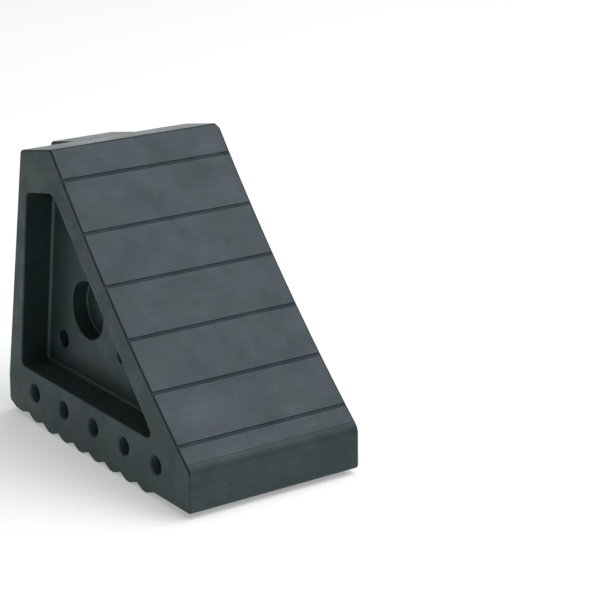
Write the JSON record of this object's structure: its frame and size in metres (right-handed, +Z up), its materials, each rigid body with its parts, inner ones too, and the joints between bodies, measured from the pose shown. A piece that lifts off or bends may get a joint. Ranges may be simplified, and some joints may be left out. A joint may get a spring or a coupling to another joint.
{
  "type": "wheel chock",
  "caption": "Wedge-shaped moulded rubber wheel chock with a hollow, grooved ramp, side pockets, a ribbed sole and a rear lug; it is set against a tyre to stop a vehicle rolling.",
  "frame": {"origin": "bottom centre of the bounding box, on the ground under the crests of the sole's ribs", "axes": "+X towards the toe at the low end of the ramp, +Y across the width, +Z up from the ground"},
  "size_m": [0.2345, 0.131, 0.2002],
  "materials": {
    "frame_rubber": "matt moulded rubber with a faint satin sheen",
    "web_rubber": "matt moulded rubber",
    "pad_rubber": "matt moulded rubber, lightly scuffed",
    "lug_rubber": "matt moulded rubber"
  },
  "bodies": {
    "root": {"wedge_frame": "frame_rubber", "core_web": "web_rubber", "ramp_pad_1": "pad_rubber", "ramp_pad_2": "pad_rubber", "ramp_pad_3": "pad_rubber", "ramp_pad_4": "pad_rubber", "ramp_pad_5": "pad_rubber", "ramp_pad_6": "pad_rubber", "ramp_pad_7": "pad_rubber", "rear_lug": "lug_rubber"}
  },
  "joints": []
}
